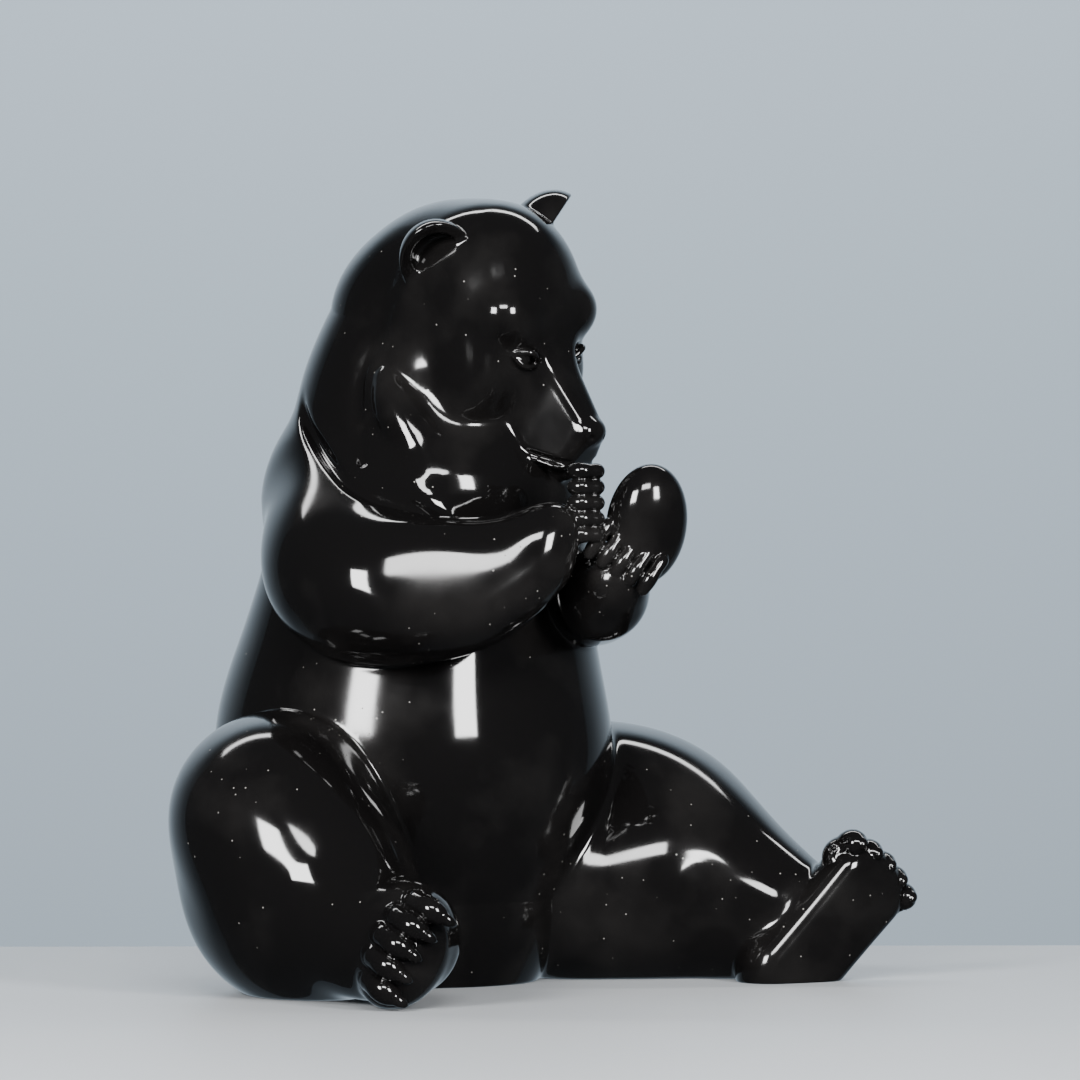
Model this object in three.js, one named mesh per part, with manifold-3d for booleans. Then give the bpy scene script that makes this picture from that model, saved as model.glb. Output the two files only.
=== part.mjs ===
// Seated bear figurine, one casting.
// Millimetres, +Z up, flat underside on z = 0. The bear faces -Y and its left side is +X.
import * as THREE from 'three';
import { mergeVertices } from 'three/addons/utils/BufferGeometryUtils.js';
import Module from 'manifold-3d';

const wasm = await Module();
wasm.setup();

// Driving sizes of the body
// A station is [left of the middle, forward of the middle, height, radius],
// with a second radius where the section is wider than it is deep. Stations run from root to end.
const TRUNK = [
  [0, -14, 30, 56, 55],
  [0, -14, 80, 75, 73],
  [0, -10, 125, 68, 66],
  [0, -5, 168, 58, 55],
  [0, 2, 206, 45, 44],
];
const HUMP = { at: [0, -20, 194], radii: [43, 38, 40] };
const CHEST = { at: [-3, 14, 182], radii: [50, 40, 32] };
const SHOULDER = { at: [19, -18, 178], radii: [39, 39, 39] };
const HOOD = [
  [0, -5, 246, 36, 39],
  [0, -8, 226, 45, 44],
  [0, -8, 206, 51, 46],
  [0, -2, 192, 50, 44],
];
const CROWN = { at: [0, 8, 258], radii: [31, 36, 32.5] };
const THROAT = [
  [0, 12, 226, 40, 32],
  [0, 6, 206, 37, 28],
  [0, 6, 172, 45, 41],
];
const THROAT_ROLL = [
  [38, 12, 222, 6],
  [38, 20, 207, 10],
  [30, 32, 187, 10],
  [18, 38, 174, 8],
];
const TAIL = { at: [0, -76, 26], radii: [12, 13, 14] };

// Driving sizes of the limbs
const RIGHT_UPPER_ARM = [
  [-21, -22, 190, 26],
  [-25, -12, 177, 35],
  [-59, 12, 152, 30],
];
const RIGHT_FOREARM = [
  [-59, 12, 152, 30],
  [-56, 43, 146, 27],
  [-41, 60, 149, 23],
  [-29, 73, 157, 17],
];
const RIGHT_ELBOW = { at: [-49, 24, 160], radii: [20, 20, 20] };
const FOREARM_FACE = { at: [-66.5, 64, 150.7], facing: [-0.67, 0.7, 0.22] };
const LEFT_UPPER_ARM = [
  [21, -22, 190, 26],
  [25, -12, 177, 35],
  [56, 8, 152, 26],
];
const LEFT_FOREARM = [
  [56, 8, 152, 26],
  [44, 30, 147, 22],
  [26, 53, 144, 19],
  [8, 75, 144, 17],
];
const LEFT_ELBOW = { at: [46, 20, 158], radii: [18, 18, 18] };
const RIGHT_LEG = [
  [-38, -24, 54, 44],
  [-91, 6, 63, 37],
  [-93.5, 33, 43, 30],
  [-95, 60, 26, 24],
  [-95, 76, 24, 21],
];
const RIGHT_HAUNCH = { at: [-76, -3, 42], radii: [38, 38, 43.5] };
const RIGHT_CALF = { at: [-85, 20, 34], radii: [38, 38, 38] };
const LEFT_LEG = [
  [48, -10, 47, 49],
  [78, 14, 47, 48.5],
  [84, 34, 41.5, 44],
  [91, 55, 32.5, 35],
  [98, 77, 25, 26],
];
const LEFT_CALF = { at: [70, 36, 34], radii: [35.5, 35.5, 35.5] };
const LEFT_THIGH = { at: [54, 20, 32], radii: [35, 35, 35] };

// Driving sizes of the paws
// Each paw runs along its own length, has its digits spread across, and turns its pad one way.
const RIGHT_HAND = {
  back: { at: [-26, 79, 165], radii: [10.5, 14, 11], along: [0.6, 0.55, 0.58], tall: [0, 0, 1] },
  knuckles: [-18, 88.5, 177],
  along: [0.72, 0.66, 0],
  across: [0.05, 0.05, 1],
  pitch: 5.7,
  thick: 3,
  reach: 8,
  curl: 3.5,
  claw: 2,
  fan: 0,
  arch: 0,
  hollow: 0,
};
const LEFT_HAND = {
  back: { at: [3, 86, 149], radii: [14, 12, 12], along: [0.39, 0.39, 0.83], tall: [0.57, 0.57, -0.58] },
  knuckles: [-4.5, 96, 154.5],
  along: [0.39, 0.39, 0.83],
  across: [0.57, 0.57, -0.58],
  pitch: 5.8,
  thick: 2.7,
  reach: 12,
  curl: 4,
  claw: 2,
  fan: 0,
  arch: 0,
  hollow: 0,
};
const PALMS_FACE = [0.7, -0.7, 0];
const LEFT_FOOT = {
  heel: [86, 104, 1],
  toes: [111, 118, 33],
  across: [0.77, 0.09, -0.63],
  halfWidth: [19, 18.5, 18.5],
  halfDepth: [18, 16.5, 15],
  soleCut: 5,
  knucklesUp: 4,
  knucklesBack: 11,
  pitch: 7.6,
  thick: 5.8,
  reach: 8.5,
  curl: 7,
  claw: 2.5,
  fan: 4,
  arch: 0.6,
  hollow: 0,
};
const RIGHT_FOOT = {
  heel: [-93, 70, 23],
  toes: [-102, 84, 18.5],
  along: [-0.68, 0.68, -0.06],
  across: [0.36, 0.36, 0.86],
  halfWidth: 20,
  halfDepth: [18, 15],
  knuckles: [-106, 89, 22],
  knucklesBack: 7,
  pitch: 7.6,
  thick: 4.8,
  reach: 11,
  curl: 11,
  claw: 3,
  fan: 3,
  arch: 0.7,
  hollow: 1,
};
const HELD_LUMP = {
  at: [8, 97.5, 169.5],
  radii: [15, 12, 22.5],
  along: [-0.42, 0.85, -0.3],
  tall: [0, 0, 1],
};
const DIGITS = 5;

// The outline of a digit and of its claw. Each row gives how far forward it lies as shares of the reach and
// of the claw, how far toward the pad as shares of the curl and of the claw, and its radius as a share of
// the thickness.
const DIGIT_ROWS = [
  [-0.2, 0, 0, 0, 0.9],
  [0.15, 0, -0.1, 0, 1.02],
  [0.5, 0, 0, 0, 0.9],
  [0.85, 0, 0.5, 0, 0.88],
];
const CLAW_ROWS = [
  [0.9, 0, 0.6, 0, 0.55],
  [0.9, 0.35, 1, 0, 0.42],
  [0.85, 0, 1, 0.8, 0.16],
];

// Driving sizes of the head, in the head's own directions from the middle of the skull
const SKULL_AT = [0, 22, 246];
const HEAD_TURN = { yaw: 10, pitch: 24, roll: 6 };
const SKULL = { at: [0, 0, 0.5], radii: [40, 35, 44] };
const CHEEK = { at: [22, 9, -17], radii: [20, 24, 23] };
const SIDE_FACES = [
  { facing: [1, 0.05, 0.08], out: 35.5 },
  { facing: [0.9, 0.1, 0.42], out: 37.5 },
];
const BROW = { at: [17.5, 22.5, 12], radii: [13, 11, 11] };
const MUZZLE = {
  bridge: [
    [9, 36, 2],
    [4.8, 64, -18.6],
  ],
  lip: [
    [18.5, 34, -32.4],
    [9, 60, -33.2],
  ],
  root: 5,
};
const JAW = [
  [0, 13, -30, 25],
  [0, 34, -37, 13],
  [0, 54, -37, 4.5],
];
const NOSE = { at: [0, 60, -20], radii: [6.5, 4.5, 5] };
const NOSTRIL = { at: [4.2, 65.5, -20.5], radii: [1.8, 2.5, 1.5] };
const SOCKET = { at: [17, 36.5, -0.5], radii: [6, 6, 3.5] };
const EYE = { at: [15.5, 31.5, -0.5], radii: [4, 4, 4] };
const MOUTH = [
  [0, 65, -31.5, 1.2],
  [9, 60, -32, 1.2],
  [14.5, 48, -32.8, 1.2],
  [20, 41, -31, 1.1],
  [25, 34, -27.5, 0.8],
];
const EAR = {
  radii: [13.5, 12, 15.5],
  facing: [0.45, 0.82, -0.28],
  tall: [0.54, 0.03, 0.9],
  hollow: [9, 7, 9.5],
  hollowUp: 1.5,
};
const RIGHT_EAR = { at: [-30, -7, 23], side: -1, size: 1 };
const LEFT_EAR = { at: [27, -2, 31], side: 1, size: 1.2 };

// How fine the facets are, as sides around and rows along
const BROAD = { sides: 17, rows: 12 };
const MIDDLE = { sides: 12, rows: 10 };
const SMALL = { sides: 9, rows: 6 };
const EAR_FINENESS = { sides: 12, rows: 8 };
const DIGIT = { sides: 6, rows: 6 };
const CLAW = { sides: 5, rows: 5 };
const CAP_SHARE = 0.2;
const LEAST_CAP_ROWS = 2;
const MERGE = 0.002;

// Directions and places
const place = ([left, front, up]) => new THREE.Vector3(left, -front, up);
const way = (values) => place(values).normalize();
const squared = (direction, main) =>
  direction.clone().addScaledVector(main, -direction.dot(main)).normalize();
const axesFrom = (forward, tall) => [new THREE.Vector3().crossVectors(tall, forward), forward, tall];
const BODY_AXES = axesFrom(way([0, 1, 0]), way([0, 0, 1]));
const turned = (axes, axis, degrees) =>
  axes.map((one) => one.clone().applyAxisAngle(axis, THREE.MathUtils.degToRad(degrees)));

// Solids
const solidOf = (geometry) => {
  geometry.deleteAttribute('normal');
  geometry.deleteAttribute('uv');
  const welded = mergeVertices(geometry, MERGE);
  const vertProperties = new Float32Array(welded.attributes.position.array);
  const triVerts = new Uint32Array(welded.index.array);
  return new wasm.Manifold(new wasm.Mesh({ numProp: 3, vertProperties, triVerts }));
};

const ball = (centre, radii, axes, fineness) => {
  const geometry = new THREE.SphereGeometry(1, fineness.sides, fineness.rows);
  geometry.scale(...radii);
  const basis = new THREE.Matrix4().makeBasis(axes[0], axes[1].clone().negate(), axes[2]);
  geometry.applyMatrix4(basis.setPosition(centre));
  return solidOf(geometry);
};

// A limb is a sphere drawn out along a spine, its rows set square to the spine and capped at both ends.
const limb = (stations, fineness, side = BODY_AXES[0]) => {
  const { sides, rows } = fineness;
  const spine = new THREE.CatmullRomCurve3(stations.map((one) => one.at));
  spine.curveType = 'catmullrom';
  const girth = new THREE.CatmullRomCurve3(stations.map((one) => new THREE.Vector3(one.wide, one.deep, 0)));
  girth.curveType = 'catmullrom';
  const cap = Math.max(LEAST_CAP_ROWS, Math.round(rows * CAP_SHARE));
  const geometry = new THREE.SphereGeometry(1, sides, rows);
  const spots = geometry.attributes.position;
  for (let i = 0; i < spots.count; i += 1) {
    const row = Math.floor(i / (sides + 1));
    const around = ((i % (sides + 1)) / sides) * 2 * Math.PI;
    const run = THREE.MathUtils.clamp((row - cap) / (rows - 2 * cap), 0, 1);
    const fromEnd = Math.min(row, rows - row, cap) / cap;
    const swell = Math.sin((fromEnd * Math.PI) / 2);
    const past = Math.cos((fromEnd * Math.PI) / 2) * Math.sign(row * 2 - rows);
    const tangent = spine.getTangent(run);
    const wideWay = squared(side, tangent);
    const deepWay = new THREE.Vector3().crossVectors(tangent, wideWay);
    const size = girth.getPoint(run);
    const spot = spine.getPoint(run);
    spot.addScaledVector(tangent, past * Math.min(size.x, size.y));
    spot.addScaledVector(wideWay, -Math.cos(around) * swell * size.x);
    spot.addScaledVector(deepWay, Math.sin(around) * swell * size.y);
    spots.setXYZ(i, spot.x, spot.y, spot.z);
  }
  return solidOf(geometry);
};

const station = ([left, front, up, wide, deep = wide]) => ({ at: place([left, front, up]), wide, deep });
const bodyLimb = (list, fineness) => limb(list.map(station), fineness);
const bodyBall = ({ at, radii }, fineness) => ball(place(at), radii, BODY_AXES, fineness);
const joined = (solids) => solids.reduce((whole, one) => whole.add(one));
const SIDES = [-1, 1];
const mirrored = (list, side) => list.map(([left, ...rest]) => [left * side, ...rest]);
const bothSides = ({ at, radii }) => SIDES.map((side) => ({ at: [at[0] * side, at[1], at[2]], radii }));

// All that lies beyond a flat face
const LARGE = 600;
const OUTWARD = new THREE.Vector3(0, 0, 1);
const beyond = (spot, facing) => {
  const geometry = new THREE.BoxGeometry(LARGE, LARGE, LARGE).translate(0, 0, LARGE / 2);
  geometry.applyQuaternion(new THREE.Quaternion().setFromUnitVectors(OUTWARD, facing));
  geometry.translate(spot.x, spot.y, spot.z);
  return solidOf(geometry);
};

// Digits: a row of fingers or toes, each with a claw that bends toward the pad
const digits = (paw, root, along, across, pad) => {
  const solids = [];
  for (let j = 0; j < DIGITS; j += 1) {
    const step = j - (DIGITS - 1) / 2;
    const slant = THREE.MathUtils.degToRad(paw.fan * step);
    const out = along.clone().multiplyScalar(Math.cos(slant)).addScaledVector(across, Math.sin(slant));
    const base = root.clone().addScaledVector(across, step * paw.pitch);
    base.addScaledVector(along, -paw.arch * step * step);
    base.addScaledVector(pad, paw.hollow * step * step);
    const shaped = ([reach, clawOut, curl, clawDown, girth]) => ({
      at: base
        .clone()
        .addScaledVector(out, reach * paw.reach + clawOut * paw.claw)
        .addScaledVector(pad, curl * paw.curl + clawDown * paw.claw),
      wide: girth * paw.thick,
      deep: girth * paw.thick,
    });
    solids.push(limb(DIGIT_ROWS.map(shaped), DIGIT, across), limb(CLAW_ROWS.map(shaped), CLAW, across));
  }
  return joined(solids);
};

// Trunk, hood of thick fur behind the head, and throat
const trunk = joined([
  bodyLimb(TRUNK, BROAD),
  bodyBall(HUMP, BROAD),
  bodyBall(CHEST, BROAD),
  ...bothSides(SHOULDER).map((one) => bodyBall(one, BROAD)),
  bodyLimb(HOOD, BROAD),
  bodyBall(CROWN, BROAD),
  bodyLimb(THROAT, BROAD),
  ...SIDES.map((side) => bodyLimb(mirrored(THROAT_ROLL, side), SMALL)),
  bodyBall(TAIL, SMALL),
]);

// Arms and legs
const rightArm = joined([
  bodyLimb(RIGHT_UPPER_ARM, MIDDLE),
  bodyLimb(RIGHT_FOREARM, MIDDLE),
  bodyBall(RIGHT_ELBOW, SMALL),
]).subtract(beyond(place(FOREARM_FACE.at), way(FOREARM_FACE.facing)));
const leftArm = joined([
  bodyLimb(LEFT_UPPER_ARM, MIDDLE),
  bodyLimb(LEFT_FOREARM, MIDDLE),
  bodyBall(LEFT_ELBOW, SMALL),
]);
const legs = joined([
  bodyLimb(RIGHT_LEG, BROAD),
  bodyBall(RIGHT_HAUNCH, BROAD),
  bodyBall(RIGHT_CALF, BROAD),
  bodyLimb(LEFT_LEG, BROAD),
  bodyBall(LEFT_CALF, BROAD),
  bodyBall(LEFT_THIGH, SMALL),
]);

// Hands
const turnedBall = ({ at, radii, along, tall }, fineness) =>
  ball(place(at), radii, axesFrom(way(along), squared(place(tall), way(along))), fineness);
const hand = (paw) => {
  const back = turnedBall(paw.back, SMALL);
  const along = way(paw.along);
  const across = squared(place(paw.across), along);
  const pad = squared(squared(place(PALMS_FACE), along), across);
  return back.add(digits(paw, place(paw.knuckles), along, across, pad));
};

// Left foot: stands on its heel, toes up, the flat sole turned forward
const leftFoot = () => {
  const paw = LEFT_FOOT;
  const heel = place(paw.heel);
  const toes = place(paw.toes);
  const along = toes.clone().sub(heel).normalize();
  const across = squared(place(paw.across), along);
  const sole = new THREE.Vector3().crossVectors(across, along);
  const last = paw.halfDepth.length - 1;
  const stations = paw.halfDepth.map((deep, i) => ({
    at: heel.clone().lerp(toes, i / last).addScaledVector(sole, paw.soleCut - deep),
    wide: paw.halfWidth[i],
    deep,
  }));
  const root = toes.clone().addScaledVector(along, paw.knucklesUp).addScaledVector(sole, -paw.knucklesBack);
  const foot = limb(stations, MIDDLE, across).subtract(beyond(heel, sole));
  return foot.add(digits(paw, root, along, across, sole));
};

// Right foot: lies on its outer edge, sole turned inward
const rightFoot = () => {
  const paw = RIGHT_FOOT;
  const along = way(paw.along);
  const across = squared(place(paw.across), along);
  const sole = new THREE.Vector3().crossVectors(across, along);
  const stations = [paw.heel, paw.toes].map((spot, i) => ({
    at: place(spot),
    wide: paw.halfWidth,
    deep: paw.halfDepth[i],
  }));
  const root = place(paw.knuckles).addScaledVector(sole, -paw.knucklesBack);
  return limb(stations, MIDDLE, across).add(digits(paw, root, along, across, sole));
};

// Head, turned to the left, bowed, and tipped to the right
const yawed = turned(BODY_AXES, BODY_AXES[2], HEAD_TURN.yaw);
const pitched = turned(yawed, yawed[0], HEAD_TURN.pitch);
const HEAD_AXES = turned(pitched, pitched[1], HEAD_TURN.roll);
const headWay = ([left, front, up]) =>
  new THREE.Vector3()
    .addScaledVector(HEAD_AXES[0], left)
    .addScaledVector(HEAD_AXES[1], front)
    .addScaledVector(HEAD_AXES[2], up);
const headPlace = (spot) => place(SKULL_AT).add(headWay(spot));
const sided = ([left, front, up], side) => [left * side, front, up];
const headBall = ({ at, radii }, side, fineness) =>
  ball(headPlace(sided(at, side)), radii, HEAD_AXES, fineness);
const headLimb = (list, side, fineness) =>
  limb(
    list.map(([left, front, up, wide]) => ({ at: headPlace([left * side, front, up]), wide, deep: wide })),
    fineness,
    HEAD_AXES[0],
  );

// The muzzle is a tapering block between the bridge of the nose and the lips.
const muzzle = () => {
  const geometry = new THREE.BoxGeometry(2, 2, 2);
  const spots = geometry.attributes.position;
  for (let i = 0; i < spots.count; i += 1) {
    const [back, end] = spots.getZ(i) > 0 ? MUZZLE.bridge : MUZZLE.lip;
    const share = spots.getY(i) > 0 ? (MUZZLE.root - back[1]) / (end[1] - back[1]) : 1;
    const corner = back.map((value, axis) => THREE.MathUtils.lerp(value, end[axis], share));
    const spot = headPlace(sided(corner, Math.sign(spots.getX(i))));
    spots.setXYZ(i, spot.x, spot.y, spot.z);
  }
  return solidOf(geometry);
};

const ear = ({ at, side, size }) => {
  const middle = headPlace(at);
  const facing = headWay(sided(EAR.facing, side)).normalize();
  const tall = squared(headWay(sided(EAR.tall, side)), facing);
  const axes = axesFrom(facing, tall);
  const [shell, inner] = [EAR.radii, EAR.hollow].map((radii) => radii.map((radius) => radius * size));
  const hollow = ball(middle.clone().addScaledVector(tall, EAR.hollowUp), inner, axes, SMALL);
  return ball(middle, shell, axes, EAR_FINENESS).subtract(beyond(middle, facing)).subtract(hollow);
};

const cheeks = joined([headBall(SKULL, 1, BROAD), ...SIDES.map((side) => headBall(CHEEK, side, MIDDLE))]);
const flattened = SIDES.reduce(
  (face, side) =>
    SIDE_FACES.reduce((left, { facing, out }) => {
      const direction = headWay(sided(facing, side)).normalize();
      return left.subtract(beyond(place(SKULL_AT).addScaledVector(direction, out), direction));
    }, face),
  cheeks,
);
const plain = joined([
  flattened,
  muzzle(),
  headLimb(JAW, 1, MIDDLE),
  headBall(NOSE, 1, SMALL),
  ...SIDES.map((side) => headBall(BROW, side, SMALL)),
]);
const head = SIDES.reduce(
  (face, side) =>
    face
      .subtract(headBall(SOCKET, side, SMALL))
      .add(headBall(EYE, side, SMALL))
      .subtract(headLimb(MOUTH, side, CLAW))
      .subtract(headBall(NOSTRIL, side, CLAW)),
  plain,
);

// The whole casting, cut flat underneath
const whole = joined([
  trunk,
  rightArm,
  leftArm,
  legs,
  head,
  ear(RIGHT_EAR),
  ear(LEFT_EAR),
  hand(RIGHT_HAND),
  hand(LEFT_HAND),
  leftFoot(),
  rightFoot(),
  turnedBall(HELD_LUMP, MIDDLE),
]);
const casting = whole.subtract(beyond(new THREE.Vector3(), OUTWARD.clone().negate()));

const shape = casting.getMesh();
const geometry = new THREE.BufferGeometry();
geometry.setAttribute('position', new THREE.BufferAttribute(new Float32Array(shape.vertProperties), 3));
geometry.setIndex(new THREE.BufferAttribute(new Uint32Array(shape.triVerts), 1));
geometry.computeVertexNormals();
const lacquer = new THREE.MeshStandardMaterial({ color: 0x0b0a09, roughness: 0.12, metalness: 0 });
const bear = new THREE.Mesh(geometry, lacquer);
bear.name = 'bear';

const group = new THREE.Group();
group.name = 'seated_bear';
group.add(bear);

export default group;
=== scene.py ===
import math

import bpy
import numpy as np
import openvdb
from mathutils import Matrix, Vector


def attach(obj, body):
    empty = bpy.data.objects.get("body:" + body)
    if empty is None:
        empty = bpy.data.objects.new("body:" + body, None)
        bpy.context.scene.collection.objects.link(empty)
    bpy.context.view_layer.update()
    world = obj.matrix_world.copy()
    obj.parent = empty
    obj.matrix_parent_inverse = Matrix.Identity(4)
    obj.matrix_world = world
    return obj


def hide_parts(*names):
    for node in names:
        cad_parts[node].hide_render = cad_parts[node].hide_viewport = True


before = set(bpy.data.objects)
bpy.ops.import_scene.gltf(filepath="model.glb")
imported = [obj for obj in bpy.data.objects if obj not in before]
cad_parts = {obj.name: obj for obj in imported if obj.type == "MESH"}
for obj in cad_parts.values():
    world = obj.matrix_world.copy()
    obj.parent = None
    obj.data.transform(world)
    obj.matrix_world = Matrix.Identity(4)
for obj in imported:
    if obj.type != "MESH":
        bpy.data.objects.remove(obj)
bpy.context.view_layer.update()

# The bear's body: a pear-shaped trunk with a humped back, a thick neck and a stub of a tail.
# It is one hollow bronze casting, chased smooth and lacquered black; every form below is part of it.
# Sizes are in millimetres, and a place is (left, front, up) as the bear itself sits.
MM = 0.001


def place(left, front, up):
    return np.array([left, -front, up], float)


def unit(vector):
    return vector / np.linalg.norm(vector)


def square_to(vector, main):
    return unit(vector - (vector @ main) * main)


class Limb:
    """A round or oval limb along a smooth spine.

    A station is left, front, up and radius, with a second radius where the limb is oval.
    """

    SPOT, GIRTH = slice(0, 3), slice(3, 4)
    STEPS = 12
    REFINEMENTS = 4
    LEAST_PULL = 0.25

    def __init__(self, *stations, wide_way=None):
        rows = np.array([row if len(row) == 5 else (*row, row[3]) for row in stations], float)
        rows[:, 1] *= -1
        self.last = len(rows) - 1
        self.rows = rows
        self.bends = self.natural_bends(rows)
        self.wide_way = wide_way
        self.marks = np.linspace(0, self.last, self.STEPS * self.last + 1)
        self.marked = self.along(self.marks)
        girth = self.marked[:, 3:].max(1)[:, None]
        self.low = (self.marked[:, :3] - girth).min(0)
        self.high = (self.marked[:, :3] + girth).max(0)

    @staticmethod
    def natural_bends(rows):
        count = len(rows)
        system = np.eye(count)
        pull = np.zeros_like(rows)
        for i in range(1, count - 1):
            system[i, i - 1 : i + 2] = 1, 4, 1
            pull[i] = 6 * (rows[i + 1] - 2 * rows[i] + rows[i - 1])
        return np.linalg.solve(system, pull)

    def along(self, marks, order=0, columns=slice(None)):
        start = np.clip(marks.astype(int), 0, self.last - 1)
        run = (marks - start)[:, None]
        first, second = self.rows[start, columns], self.rows[start + 1, columns]
        bend, next_bend = self.bends[start, columns], self.bends[start + 1, columns]
        square, cube = bend / 2, (next_bend - bend) / 6
        slope = second - first - (2 * bend + next_bend) / 6
        if order == 0:
            return first + run * (slope + run * (square + run * cube))
        if order == 1:
            return slope + run * (2 * square + 3 * run * cube)
        return 2 * square + 6 * run * cube

    def __call__(self, points, reach):
        nearest = np.full(len(points), np.inf)
        marks = np.zeros(len(points))
        swells = 1.0 if self.wide_way is None else 0.0
        for mark, row in zip(self.marks, self.marked):
            away = np.sqrt(((points - row[:3]) ** 2).sum(1)) - swells * row[3]
            closer = away < nearest
            nearest[closer] = away[closer]
            marks[closer] = mark
        for _ in range(self.REFINEMENTS):
            offset = self.along(marks, 0, self.SPOT) - points
            slope = self.along(marks, 1, self.SPOT)
            bend = self.along(marks, 2, self.SPOT)
            swell = swells * self.along(marks, 1, self.GIRTH)[:, 0]
            lean = (slope * slope).sum(1)
            pull = np.maximum(lean + (offset * bend).sum(1) - swell**2, self.LEAST_PULL * lean)
            tilt = (offset * slope).sum(1) - swell * np.linalg.norm(offset, axis=1)
            marks = np.clip(marks - tilt / pull, 0, self.last)
        here = self.along(marks)
        offset = points - here[:, :3]
        if self.wide_way is None:
            return np.linalg.norm(offset, axis=1) - here[:, 3]
        ahead = self.along(marks, 1, self.SPOT)
        ahead /= np.linalg.norm(ahead, axis=1)[:, None]
        wide = self.wide_way - (ahead @ self.wide_way)[:, None] * ahead
        wide /= np.linalg.norm(wide, axis=1)[:, None]
        deep = np.cross(ahead, wide)
        local = np.stack([(offset * way).sum(1) for way in (wide, deep, ahead)], 1)
        return oval_distance(local, np.c_[here[:, 3:], here[:, 3:].min(1)])


TINY = 1e-12


def oval_distance(local, radii):
    scaled = np.linalg.norm(local / radii, axis=1)
    steep = np.linalg.norm(local / radii**2, axis=1) + TINY
    return scaled * (scaled - 1) / steep


class Lump:
    """An egg of three radii along three axes: left, front and up unless others are given."""

    def __init__(self, centre, radii, axes=np.eye(3)):
        self.centre = centre
        self.radii = np.ones(3) * radii
        self.axes = axes
        span = np.sqrt(((axes * self.radii[:, None]) ** 2).sum(0))
        self.low, self.high = centre - span, centre + span

    def __call__(self, points, reach):
        return oval_distance((points - self.centre) @ self.axes.T, self.radii)


SHARPEST = 1e-6


def blend(one, other, width):
    """The nearer of two distances, faired over the given width where they meet."""
    width = np.maximum(width, SHARPEST)
    share = np.maximum(width - np.abs(one - other), 0) / width
    return np.minimum(one, other) - share**3 * width / 6


class Joined:
    """Forms added or cut in turn, each faired into the ones before it over a width.

    A fairing may also be given as (low height, width there, high height, width there).
    """

    FAR = 40

    def __init__(self):
        self.parts = []

    def add(self, form, fairing=0.0, cut=False):
        fairing = fairing if isinstance(fairing, tuple) else (0, fairing)
        heights, widths = fairing[0::2], fairing[1::2]
        self.parts.append((form, heights, widths, cut))
        if not cut:
            first = len(self.parts) == 1
            self.low = form.low if first else np.minimum(self.low, form.low)
            self.high = form.high if first else np.maximum(self.high, form.high)

    def __call__(self, points, reach):
        away = np.full(len(points), 4.0 * reach + self.FAR)
        for form, heights, widths, cut in self.parts:
            margin = reach + max(widths)
            near = ((points > form.low - margin) & (points < form.high + margin)).all(1)
            if not near.any():
                continue
            own = form(points[near], margin)
            width = np.interp(points[near, 2], heights, widths)
            away[near] = -blend(-away[near], own, width) if cut else blend(away[near], own, width)
        return away


def mirrored(stations, side):
    return [(left * side, *rest) for left, *rest in stations]


LEFTWARD = place(1, 0, 0)
trunk = Joined()
trunk.add(
    Limb(
        (0, -14, 30, 56, 55),
        (0, -14, 80, 75, 73),
        (0, -10, 125, 68, 66),
        (0, -5, 168, 58, 55),
        (0, 2, 206, 45, 44),
        wide_way=LEFTWARD,
    )
)
hump = Lump(place(0, -20, 194), (43, 38, 40))
chest = Lump(place(-3, 14, 182), (50, 40, 32))
trunk.add(hump, fairing=20)
trunk.add(chest, fairing=14)
for side in (-1, 1):
    shoulder = Lump(place(19 * side, -18, 178), 39)
    trunk.add(shoulder, fairing=14)
tail = Lump(place(0, -76, 26), (12, 13, 14))

# The neck: thick fur that hangs from the crown like a hood, over a throat with a soft roll down each side.
# It is modelled in the wax with the body and cast in one with it.
hood = Joined()
hood.add(
    Limb(
        (0, -5, 246, 36, 39),
        (0, -8, 226, 45, 44),
        (0, -8, 206, 51, 46),
        (0, -2, 192, 50, 44),
        wide_way=LEFTWARD,
    )
)
crown = Lump(place(0, 8, 258), (31, 36, 32.5))
hood.add(crown, fairing=14)
throat = Joined()
throat.add(Limb((0, 12, 226, 40, 32), (0, 6, 206, 37, 28), (0, 6, 172, 45, 41), wide_way=LEFTWARD))
THROAT_ROLL = ((38, 12, 222, 6), (38, 20, 207, 10), (30, 32, 187, 10), (18, 38, 174, 8))
for side in (-1, 1):
    throat.add(Limb(*mirrored(THROAT_ROLL, side)), fairing=3)

# The arms: both are folded up to the mouth, the left one low and across, the right one high.
# They are cast with the body, and the right forearm is dressed to a broad flat face on its outer side.
class Flat:
    """All that lies beyond a flat face, for cutting a form off flat."""

    def __init__(self, spot, way):
        self.spot, self.way = spot, way
        self.low, self.high = np.full(3, -np.inf), np.full(3, np.inf)

    def __call__(self, points, reach):
        return (self.spot - points) @ self.way


right_arm = Joined()
right_arm.add(
    Limb(
        (-25, -12, 177, 35),
        (-59, 12, 152, 30),
        (-56, 43, 146, 27),
        (-41, 60, 149, 23),
        (-29, 73, 157, 17),
    )
)
right_shoulder = Lump(place(-21, -22, 190), 26)
right_elbow = Lump(place(-49, 24, 160), 20)
forearm_face = Flat(place(-66.5, 64, 150.7), unit(place(-0.672, 0.70, 0.22)))
right_arm.add(right_shoulder, fairing=14)
right_arm.add(right_elbow, fairing=14)
right_arm.add(forearm_face, fairing=9, cut=True)
left_arm = Joined()
left_arm.add(
    Limb(
        (25, -12, 177, 35),
        (56, 8, 152, 26),
        (44, 30, 147, 22),
        (26, 53, 144, 19),
        (8, 75, 144, 17),
    )
)
left_shoulder = Lump(place(21, -22, 190), 26)
left_elbow = Lump(place(46, 20, 158), 18)
left_arm.add(left_shoulder, fairing=14)
left_arm.add(left_elbow, fairing=14)

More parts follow.
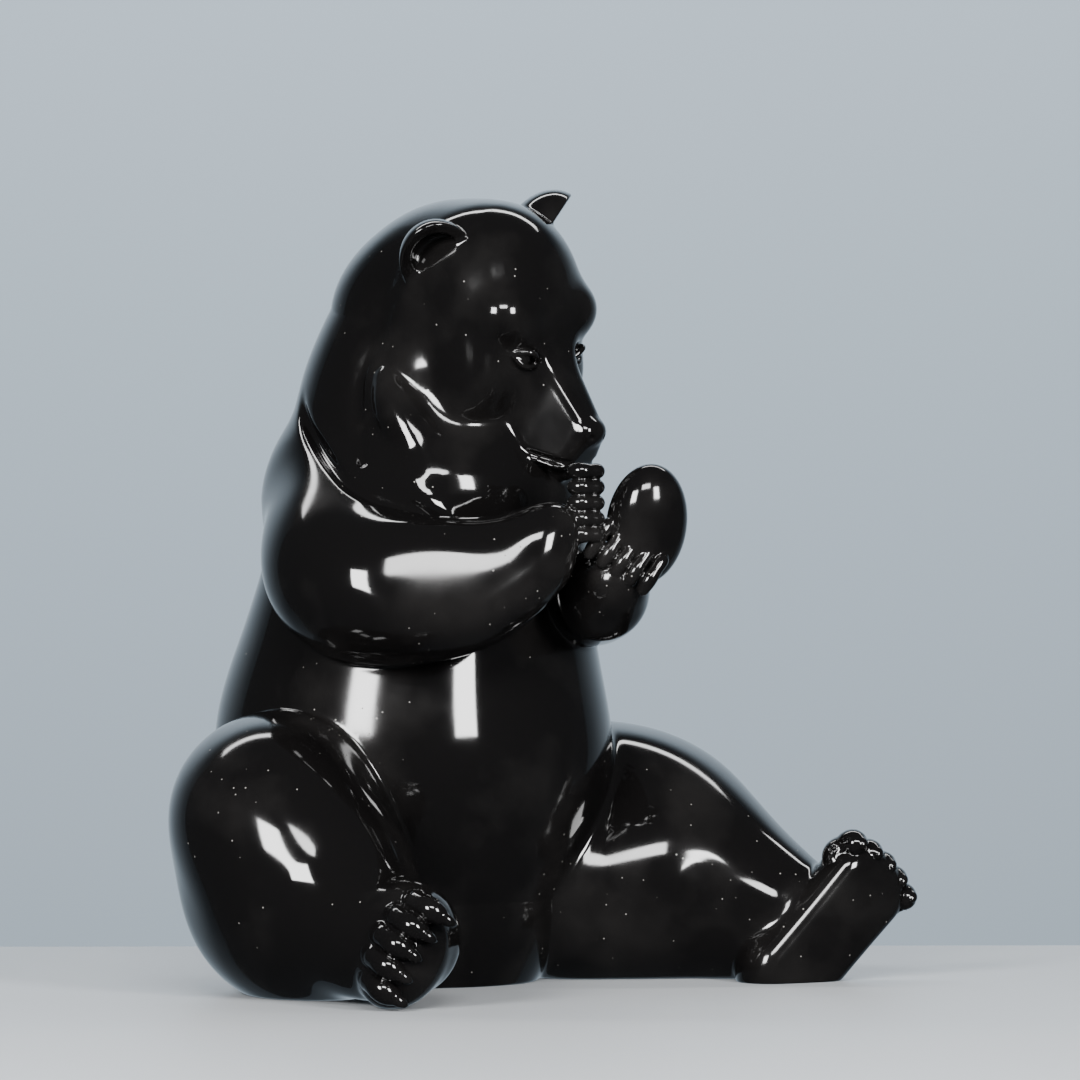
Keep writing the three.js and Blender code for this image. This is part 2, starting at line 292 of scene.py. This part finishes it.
# The legs: the right one lies out on its side, the left one is stretched forward on its heel.
# They are cast with the body, and both rest on the ground along their whole length.
right_leg = Joined()
right_leg.add(
    Limb(
        (-38, -24, 54, 44),
        (-91, 6, 63, 37),
        (-93.5, 33, 43, 30),
        (-95, 60, 26, 24),
        (-95, 76, 24, 21),
    )
)
right_haunch = Lump(place(-76, -3, 42), (38, 38, 43.5))
right_calf = Lump(place(-85, 20, 34), 38)
right_leg.add(right_haunch, fairing=14)
right_leg.add(right_calf, fairing=25)
left_leg = Joined()
left_leg.add(
    Limb(
        (48, -10, 47, 49),
        (78, 14, 47, 48.5),
        (84, 34, 41.5, 44),
        (91, 55, 32.5, 35),
        (98, 77, 25, 26),
    )
)
left_calf = Lump(place(70, 36, 34), 35.5)
inner_thigh = Lump(place(54, 20, 32), 35)
shin_valley = Limb((53, 82, 2, 9), (54, 83, 20, 8), (58, 82, 40, 5))
left_leg.add(left_calf, fairing=12)
left_leg.add(inner_thigh, fairing=14)
left_leg.add(shin_valley, fairing=10, cut=True)

# The paws: five stubby digits each, every one with a short hooked claw, chased as separate bumps.
# The hands grip a smooth rounded lump of food from both sides, and it is cast with them.
DIGITS = 5


def add_digits(paw, root, along, across, pad, pitch, thick, reach, curl, claw, fan=0.0, arch=0.0, crown=0.0):
    for j in range(DIGITS):
        step = j - (DIGITS - 1) / 2
        slant = math.radians(fan * step)
        out = along * math.cos(slant) + across * math.sin(slant)
        base = root + across * step * pitch - along * arch * step**2 + pad * crown * step**2

        def station(forward, to_pad, radius):
            spot = base + out * forward + pad * to_pad
            return spot[0], -spot[1], spot[2], radius

        toe = Limb(
            station(-0.2 * reach, 0, 0.9 * thick),
            station(0.15 * reach, -0.25 * thick, 1.02 * thick),
            station(0.5 * reach, 0, 0.9 * thick),
            station(0.8 * reach, 0.3 * curl, 0.95 * thick),
            station(0.85 * reach, 0.6 * curl, 0.8 * thick),
        )
        nail = Limb(
            station(0.9 * reach, 0.6 * curl, 0.55 * thick),
            station(0.9 * reach + 0.35 * claw, curl, 0.42 * thick),
            station(0.85 * reach, curl + 0.8 * claw, 0.16 * thick),
        )
        paw.add(toe, fairing=0.6)
        paw.add(nail, fairing=0.5)


def axes_from(forward, tall):
    return np.array([np.cross(tall, forward), forward, tall])


STRAIGHT_UP = place(0, 0, 1)
right_hand = Joined()
finger_way = unit(place(0.72, 0.66, 0))
finger_row = square_to(place(0.05, 0.05, 1), finger_way)
palm_way = square_to(place(0.7, -0.7, 0), finger_way)
hand_way = unit(place(0.60, 0.55, 0.58))
hand_axes = axes_from(hand_way, square_to(STRAIGHT_UP, hand_way))
right_arm.add(Lump(place(-26, 79, 165), (10.5, 14, 11), hand_axes), fairing=10)
add_digits(
    right_hand,
    place(-18, 88.5, 177),
    finger_way,
    finger_row,
    palm_way,
    pitch=5.7,
    thick=3,
    reach=8,
    curl=3.5,
    claw=2,
)

left_hand = Joined()
finger_way = unit(place(0.39, 0.39, 0.83))
finger_row = square_to(place(0.57, 0.57, -0.58), finger_way)
palm_way = square_to(place(0.7, -0.7, 0), finger_way)
left_arm.add(Lump(place(3, 86, 149), (14, 12, 12), axes_from(finger_way, finger_row)), fairing=12)
add_digits(
    left_hand,
    place(-4.5, 96, 154.5),
    finger_way,
    finger_row,
    palm_way,
    pitch=5.8,
    thick=2.7,
    reach=12,
    curl=4,
    claw=2,
)

lump_way = unit(place(-0.42, 0.85, -0.3))
lump_axes = axes_from(lump_way, square_to(STRAIGHT_UP, lump_way))
held_lump = Lump(place(8, 97.5, 169.5), (15, 12, 22.5), lump_axes)

left_foot = Joined()
heel, toes = place(86, 104, 1), place(111, 118, 33)
toe_way = unit(toes - heel)
toe_row = square_to(place(0.77, 0.09, -0.63), toe_way)
sole_way = np.cross(toe_row, toe_way)
SOLE_CUT, KNUCKLES_UP, KNUCKLES_BACK = 5, 4, 11
foot_stations = []
for run, half_width, half_depth in ((0, 19, 18), (0.5, 18.5, 16.5), (1, 18.5, 15)):
    spot = heel + (toes - heel) * run - sole_way * (half_depth - SOLE_CUT)
    foot_stations.append((spot[0], -spot[1], spot[2], half_width, half_depth))
left_foot.add(Limb(*foot_stations, wide_way=toe_row))
left_foot.add(Flat(heel, sole_way), fairing=9, cut=True)
add_digits(
    left_foot,
    toes + toe_way * KNUCKLES_UP - sole_way * KNUCKLES_BACK,
    toe_way,
    toe_row,
    sole_way,
    pitch=7.6,
    thick=5.8,
    reach=8.5,
    curl=7,
    claw=2.5,
    fan=4,
    arch=0.6,
)

right_foot = Joined()
toe_way = unit(place(-0.68, 0.68, -0.06))
toe_row = square_to(place(0.36, 0.36, 0.86), toe_way)
sole_way = np.cross(toe_row, toe_way)
right_foot.add(Limb((-93, 70, 23, 20, 18), (-102, 84, 18.5, 20, 15), wide_way=toe_row))
RIGHT_KNUCKLES_BACK = 7
add_digits(
    right_foot,
    place(-106, 89, 22) - sole_way * RIGHT_KNUCKLES_BACK,
    toe_way,
    toe_row,
    sole_way,
    pitch=7.6,
    thick=4.8,
    reach=11,
    curl=11,
    claw=3,
    fan=3,
    arch=0.7,
    crown=1.0,
)

# The head: a broad skull bowed and turned a little to the left, with a tapering muzzle.
# Ears, brows, eyes, nose and mouth are modelled in the wax before casting, so they are crisp but soft-edged.
SKULL_AT = place(0, 22, 246)
HEAD_YAW, HEAD_BOW, HEAD_TIP = (math.radians(angle) for angle in (10, 24, 6))


def turned(axes, axis, angle):
    cross = np.array([[0, -axis[2], axis[1]], [axis[2], 0, -axis[0]], [-axis[1], axis[0], 0]])
    turn = np.eye(3) + math.sin(angle) * cross + (1 - math.cos(angle)) * cross @ cross
    return axes @ turn.T


head_axes = axes_from(place(0, 1, 0), STRAIGHT_UP)
head_axes = turned(head_axes, head_axes[2], HEAD_YAW)
head_axes = turned(head_axes, head_axes[0], HEAD_BOW)
head_axes = turned(head_axes, head_axes[1], HEAD_TIP)


def on_head(left, front, up):
    return SKULL_AT + np.array([left, front, up]) @ head_axes


def head_limb(*stations):
    spots = [on_head(*row[:3]) for row in stations]
    return Limb(*((spot[0], -spot[1], spot[2], row[3]) for spot, row in zip(spots, stations)))


def head_lump(left, front, up, radii):
    return Lump(on_head(left, front, up), radii, head_axes)


class Wedge:
    """A block between flat faces, its edges rounded. A face is a place on it and the way it looks."""

    DEEPEST = 1e6

    def __init__(self, faces, rounding, low, high):
        self.faces = faces
        self.rounding = rounding
        self.low, self.high = low, high

    def __call__(self, points, reach):
        depth = np.full(len(points), self.DEEPEST)
        for spot, way in self.faces:
            depth = blend(depth, -(points - spot) @ way, self.rounding)
        return -depth


BRIDGE_BACK, BRIDGE_END = (9.5, 36, 2.5), (5.5, 62, -16.5)
LIP_BACK, LIP_END = (19, 34, -32), (9, 61, -33)
LIP_UNDER = 0.5
MUZZLE_ROUNDING, MUZZLE_SPAN = 6, 45
muzzle_faces = []
for side in (-1, 1):
    top_back, top_end, low_back = np.array(mirrored((BRIDGE_BACK, BRIDGE_END, LIP_BACK), side))
    way = unit(np.cross(top_end - top_back, low_back - top_back))
    way *= side * np.sign(way[0])
    muzzle_faces.append((on_head(*top_back), way @ head_axes))
bridge_way = unit(np.array([0, BRIDGE_BACK[2] - BRIDGE_END[2], BRIDGE_END[1] - BRIDGE_BACK[1]]))
muzzle_faces.append((on_head(0, *BRIDGE_BACK[1:]), bridge_way @ head_axes))
muzzle_faces.append((on_head(0, 0, LIP_END[2] - LIP_UNDER), np.array([0, -0.05, -1]) @ head_axes))
muzzle_faces.append((on_head(0, 65, -17), unit(np.array([0, 1, -0.3])) @ head_axes))
muzzle_faces.append((on_head(0, 5, 0), np.array([0, -1, 0]) @ head_axes))
muzzle_middle = on_head(0, 32, -12)
muzzle = Wedge(muzzle_faces, MUZZLE_ROUNDING, muzzle_middle - MUZZLE_SPAN, muzzle_middle + MUZZLE_SPAN)

SIDE_FACES = ((1, 0.05, 0.08, 35.5), (0.9, 0.1, 0.42, 37.5))
UPPER_LID = ((10.5, 36, -2.2, 0.9), (15.5, 36, 2.2, 1.2), (20.5, 30.5, 0.2, 0.9))
LOWER_LID = ((10.5, 36, -2.2, 0.9), (16.5, 35.5, -3.2, 1.2), (20.5, 30.5, 0.2, 0.9))
MOUTH = (
    (0, 65, -31.5, 1.1),
    (9, 60, -32, 1.2),
    (14.5, 48, -32.8, 1.2),
    (20, 41, -31, 1.1),
    (25, 34, -27.5, 0.8),
)
head = Joined()
skull = head_lump(0, 0, 0.5, (40, 35, 44))
head.add(skull)
for side in (-1, 1):
    cheek = head_lump(22 * side, 9, -17, (20, 24, 23))
    head.add(cheek, fairing=12)
    for left, front, up, depth in SIDE_FACES:
        way = unit(np.array([left * side, front, up]) @ head_axes)
        head.add(Flat(SKULL_AT + way * depth, way), fairing=9, cut=True)
    brow = head_lump(17.5 * side, 22.5, 12, (13, 11, 11))
    head.add(brow, fairing=8)
jaw = head_limb((0, 13, -30, 25), (0, 34, -37, 13), (0, 54, -37, 4.5))
nose = head_lump(0, 60, -20, (6.5, 4.5, 5))
head.add(muzzle, fairing=13)
head.add(jaw, fairing=2)
head.add(nose, fairing=3)
for side in (-1, 1):
    socket = head_lump(17 * side, 36.5, -0.5, (6, 6, 3.5))
    eye = head_lump(15.5 * side, 31.5, -0.5, 4)
    nostril = head_lump(4.2 * side, 65.5, -20.5, (1.8, 2.5, 1.5))
    head.add(socket, fairing=3, cut=True)
    head.add(eye, fairing=0.5)
    for lid in (UPPER_LID, LOWER_LID):
        head.add(head_limb(*mirrored(lid, side)), fairing=1)
    head.add(head_limb(*mirrored(MOUTH, side)), fairing=1.5, cut=True)
    head.add(nostril, fairing=0.8, cut=True)

EAR, EAR_HOLLOW, HOLLOW_UP = np.array([13.5, 12, 15.5]), np.array([9, 7, 9.5]), 1.5
ears = []
for side, middle, size in ((-1, on_head(-30, -7, 23), 1), (1, on_head(27, -2, 31), 1.2)):
    facing = unit(np.array([0.45 * side, 0.82, -0.28]) @ head_axes)
    tall = square_to(np.array([0.54 * side, 0.03, 0.9]) @ head_axes, facing)
    ear_axes = axes_from(facing, tall)
    ear = Joined()
    ear.add(Lump(middle, size * EAR, ear_axes))
    ear.add(Flat(middle, facing), fairing=1.5, cut=True)
    ear.add(Lump(middle + HOLLOW_UP * tall, size * EAR_HOLLOW, ear_axes), fairing=1.5, cut=True)
    ears.append(ear)

# The casting: all the forms run together, with a tight crease wherever two of them meet.
# A fold is cut in round the face and another where the hood lies over the shoulders.
# The underside is ground flat so that the bear sits steady.
FACE_FOLD = (
    (38, 13, 254, 1),
    (39.5, 7, 244, 2),
    (42, 4, 233, 2.2),
    (45, 2.5, 224, 2.2),
    (49.5, 6.5, 209, 2.2),
    (55, 15, 192, 0.5),
)
COLLAR_FOLD = (
    (45, -32, 221, 0.5),
    (50.7, -16, 204, 2),
    (62.5, 11, 188, 2),
    (61, 29, 178.5, 2),
    (50, 45, 173.5, 2),
    (36, 51, 173, 1),
)
FOLD_FAIRING = 5
casting = Joined()
for form, fairing in (
    (trunk, 3),
    (right_arm, (155, 3, 180, 16)),
    (left_arm, (155, 3, 180, 16)),
    (left_leg, 6),
    (right_leg, 3),
    (hood, 6),
    (throat, (188, 10, 204, 3)),
    (head, (258, 3, 280, 14)),
    (ears[0], 3),
    (ears[1], 3),
    (held_lump, 1),
    (right_foot, 4),
    (tail, 10),
    (left_foot, 5),
    (right_hand, 1),
    (left_hand, 1),
):
    casting.add(form, fairing)

for side in (-1, 1):
    for fold in (FACE_FOLD, COLLAR_FOLD):
        casting.add(Limb(*mirrored(fold, side)), FOLD_FAIRING, cut=True)

GROUND_EDGE = 1.2


def grounded(points, reach):
    return -blend(-casting(points, reach), points[:, 2], GROUND_EDGE)


FINEST = 0.8
HALVINGS = 4
NEAR_SURFACE = 1.25
grain = FINEST * 2**HALVINGS
low = casting.low - grain
cells = np.ceil((casting.high + grain - low) / grain).astype(int)
cells[2] += 1
low[2] = -grain * 0.5 - FINEST * 0.25
spots = low + (np.argwhere(np.ones(cells, bool)) + 0.5) * grain
away = grounded(spots, grain * 2).reshape(cells).astype(np.float32)
for _ in range(HALVINGS):
    near = np.abs(away) < grain * NEAR_SURFACE
    grain /= 2
    for axis in range(3):
        away = away.repeat(2, axis)
        near = near.repeat(2, axis)
    spots = low + (np.argwhere(near) + 0.5) * grain
    away[near] = grounded(spots, grain * 3)
volume = openvdb.FloatGrid(background=float(away.max()))
volume.copyFromArray(away)
corners, faces = volume.convertToQuads(isovalue=0.0)
corners = low + (corners + 0.5) * grain

# Small pockets shut in between the digits are left out: only the outer shell is kept.
shell, joined_up = None, np.arange(len(corners))
while shell is None or (joined_up != shell).any():
    shell = joined_up.copy()
    np.minimum.at(joined_up, faces, shell[faces].min(1)[:, None])
    joined_up = joined_up[joined_up]
outer = shell == np.bincount(shell).argmax()
faces = (np.cumsum(outer) - 1)[faces[outer[faces[:, 0]]]]
corners = corners[outer]

wax = bpy.data.meshes.new("bear_wax")
wax.from_pydata(corners.tolist(), [], faces.tolist())
wax_bear = bpy.data.objects.new("bear_wax", wax)
bpy.context.collection.objects.link(wax_bear)
FACE_LIMIT = 190_000
thinning = wax_bear.modifiers.new("thinning", "DECIMATE")
thinning.ratio = min(1, FACE_LIMIT / (2 * len(faces)))
thinned = wax_bear.evaluated_get(bpy.context.evaluated_depsgraph_get())
bear_mesh = bpy.data.meshes.new_from_object(thinned)
bear_mesh.name = "bear_casting"
bpy.data.objects.remove(wax_bear)
bpy.data.meshes.remove(wax)

corners = np.empty(len(bear_mesh.vertices) * 3)
bear_mesh.vertices.foreach_get("co", corners)
corners = corners.reshape(-1, 3)
NUDGE, REACH = 0.3 * FINEST, 4
LEAST_STEEPNESS, MOST_SETTLING = 0.25, 0.3
rises = [grounded(corners + step, REACH) - grounded(corners - step, REACH) for step in np.eye(3) * NUDGE]
slope = np.stack(rises, 1) / (2 * NUDGE)
steepness = np.maximum((slope**2).sum(1), LEAST_STEEPNESS)
settle = (grounded(corners, REACH) / steepness)[:, None] * slope
corners -= np.clip(settle, -MOST_SETTLING, MOST_SETTLING)
corners[:, 2] = np.maximum(corners[:, 2], 0)
bear_mesh.vertices.foreach_set("co", (corners * MM).ravel())
bear_mesh.shade_smooth()
bear_mesh.normals_split_custom_set_from_vertices(slope / np.sqrt(steepness)[:, None])
bear = bpy.data.objects.new("bear_casting", bear_mesh)
bpy.context.collection.objects.link(bear)
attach(bear, "root")
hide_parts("bear")

# The finish: black lacquer over a dark brown-black patina, polished to a mirror.
# Dust has settled on it as fine pale specks, and handling has left a faint uneven haze.
lacquer = bpy.data.materials.new("black_lacquer")
lacquer.use_nodes = True
nodes, links = lacquer.node_tree.nodes, lacquer.node_tree.links
gloss = nodes["Principled BSDF"]
gloss.inputs["IOR"].default_value = 1.55
where = nodes.new("ShaderNodeTexCoord").outputs["Object"]
specks = nodes.new("ShaderNodeTexVoronoi")
specks.inputs["Scale"].default_value = 230
links.new(where, specks.inputs["Vector"])
speck_edge = nodes.new("ShaderNodeMapRange")
speck_edge.inputs["From Min"].default_value = 0.085
speck_edge.inputs["From Max"].default_value = 0.035
links.new(specks.outputs["Distance"], speck_edge.inputs["Value"])
drift = nodes.new("ShaderNodeTexNoise")
drift.inputs["Scale"].default_value = 14
drift.inputs["Detail"].default_value = 2
links.new(where, drift.inputs["Vector"])
settled = nodes.new("ShaderNodeMapRange")
settled.inputs["From Min"].default_value = 0.42
settled.inputs["From Max"].default_value = 0.70
links.new(drift.outputs["Fac"], settled.inputs["Value"])
chance = nodes.new("ShaderNodeSeparateColor")
links.new(specks.outputs["Color"], chance.inputs["Color"])
kept = nodes.new("ShaderNodeMath")
kept.operation = "LESS_THAN"
links.new(chance.outputs["Red"], kept.inputs[0])
links.new(settled.outputs["Result"], kept.inputs[1])
dust = nodes.new("ShaderNodeMath")
dust.operation = "MULTIPLY"
links.new(speck_edge.outputs["Result"], dust.inputs[0])
links.new(kept.outputs["Value"], dust.inputs[1])
patina = nodes.new("ShaderNodeTexNoise")
patina.inputs["Scale"].default_value = 26
patina.inputs["Detail"].default_value = 4
links.new(where, patina.inputs["Vector"])
bloom = nodes.new("ShaderNodeMapRange")
bloom.inputs["From Min"].default_value = 0.48
bloom.inputs["From Max"].default_value = 0.78
links.new(patina.outputs["Fac"], bloom.inputs["Value"])
ground = nodes.new("ShaderNodeMix")
ground.data_type = "RGBA"
ground.inputs["A"].default_value = (0.0034, 0.0031, 0.0031, 1)
ground.inputs["B"].default_value = (0.011, 0.0102, 0.0098, 1)
links.new(bloom.outputs["Result"], ground.inputs["Factor"])
dusted = nodes.new("ShaderNodeMix")
dusted.data_type = "RGBA"
dusted.inputs["B"].default_value = (0.24, 0.23, 0.21, 1)
links.new(dust.outputs["Value"], dusted.inputs["Factor"])
links.new(ground.outputs["Result"], dusted.inputs["A"])
links.new(dusted.outputs["Result"], gloss.inputs["Base Color"])
haze = nodes.new("ShaderNodeMapRange")
haze.inputs["From Min"].default_value = 0.35
haze.inputs["From Max"].default_value = 0.75
haze.inputs["To Min"].default_value = 0.05
haze.inputs["To Max"].default_value = 0.15
links.new(patina.outputs["Fac"], haze.inputs["Value"])
dull = nodes.new("ShaderNodeMath")
dull.operation = "MULTIPLY_ADD"
dull.inputs[1].default_value = 0.5
links.new(dust.outputs["Value"], dull.inputs[0])
links.new(haze.outputs["Result"], dull.inputs[2])
links.new(dull.outputs["Value"], gloss.inputs["Roughness"])
bear_mesh.materials.clear()
bear_mesh.materials.append(lacquer)

# The setting: a plain pale floor and a plain pale wall well behind it, both painted flat boards.
# The floor is kept out of mirror reflections, so the lower half of the bear stays as dark as the upper.
FLOOR_TONE = (0.50, 0.52, 0.54, 1)
WALL_TONE = (0.56, 0.68, 0.79, 1)
setting = {}
for name, tone, rough in (("floor", FLOOR_TONE, 0.45), ("wall", WALL_TONE, 0.9)):
    paint = bpy.data.materials.new(name)
    paint.use_nodes = True
    paint.node_tree.nodes["Principled BSDF"].inputs["Base Color"].default_value = tone
    paint.node_tree.nodes["Principled BSDF"].inputs["Roughness"].default_value = rough
    setting[name] = paint
AZIMUTH = math.radians(-45)
rightward = Vector((math.cos(AZIMUTH), math.sin(AZIMUTH), 0))
toward_camera = Vector((math.sin(AZIMUTH), -math.cos(AZIMUTH), 0))
upward = Vector((0, 0, 1))


def sheet(name, corner_places):
    mesh = bpy.data.meshes.new(name)
    mesh.from_pydata(corner_places, [], [(0, 1, 2, 3)])
    panel = bpy.data.objects.new(name, mesh)
    mesh.materials.append(setting[name])
    bpy.context.collection.objects.link(panel)
    panel.visible_glossy = name != "floor"


FLOOR_FRONT, FLOOR_BACK, WALL_BACK = 0.45, -0.20, -3.0
FLOOR_HALF, WALL_HALF, WALL_LOW, WALL_HIGH = 3, 5, -3, 4
floor_edges = (
    (-FLOOR_HALF, FLOOR_BACK),
    (FLOOR_HALF, FLOOR_BACK),
    (FLOOR_HALF, FLOOR_FRONT),
    (-FLOOR_HALF, FLOOR_FRONT),
)
sheet("floor", [rightward * x + toward_camera * y for x, y in floor_edges])
wall_edges = ((WALL_HALF, WALL_LOW), (-WALL_HALF, WALL_LOW), (-WALL_HALF, WALL_HIGH), (WALL_HALF, WALL_HIGH))
sheet("wall", [rightward * x + toward_camera * WALL_BACK + upward * z for x, z in wall_edges])


# The lights: softboxes in front to the left and right, a wide one above, and a strip that washes the wall.
# They are what the lacquer mirrors, so their places set where the bright patches fall.
def softbox(name, place_at, aim_at, width, height, power):
    lamp = bpy.data.lights.new(name, "AREA")
    lamp.shape = "RECTANGLE"
    lamp.size, lamp.size_y = width, height
    lamp.energy = power
    holder = bpy.data.objects.new(name, lamp)
    holder.location = place_at
    holder.rotation_mode = "QUATERNION"
    holder.rotation_quaternion = (aim_at - place_at).to_track_quat("-Z", "Y")
    holder.visible_camera = False
    bpy.context.collection.objects.link(holder)


LIGHT_AWAY, AIM_UP = 1.6, 0.12
middle = upward * AIM_UP
for name, across, toward, up, width, height, power in (
    ("left_softbox", -0.46, 0.84, 0.30, 0.42, 0.50, 34),
    ("right_softbox", 0.52, 0.81, 0.28, 0.34, 0.50, 28),
    ("upper_softbox", 0.05, 0.86, 0.50, 0.60, 0.26, 16),
):
    way = (rightward * across + toward_camera * toward + upward * up).normalized()
    softbox(name, middle + way * LIGHT_AWAY, middle, width, height, power)
wash_at = toward_camera * -1.4 + upward * 2.6
wash_aim = toward_camera * WALL_BACK + upward * 0.4
softbox("wall_wash", wash_at, wash_aim, 4.0, 0.6, 110)
sky = bpy.data.worlds.new("studio")
sky.use_nodes = True
sky.node_tree.nodes["Background"].inputs["Color"].default_value = (0.8, 0.87, 0.95, 1)
sky.node_tree.nodes["Background"].inputs["Strength"].default_value = 0.06
bpy.context.scene.world = sky

# The camera: level with the bear's chest, off its right shoulder, with a long lens.
# Sizes are in metres, and the lens and sensor in millimetres.
CAMERA_AWAY, CAMERA_UP = 2.0, 0.145
SIGHT_RIGHT, SIGHT_UP = 0.0373, 0.1644
SENSOR, LENS = 36, 178.9
camera = bpy.data.objects.new("camera", bpy.data.cameras.new("camera"))
camera.data.sensor_width = SENSOR
camera.data.lens = LENS
camera.location = toward_camera * CAMERA_AWAY + upward * CAMERA_UP
sight = rightward * SIGHT_RIGHT + upward * SIGHT_UP
camera.rotation_mode = "QUATERNION"
camera.rotation_quaternion = (sight - camera.location).to_track_quat("-Z", "Y")
bpy.context.collection.objects.link(camera)
bpy.context.scene.camera = camera
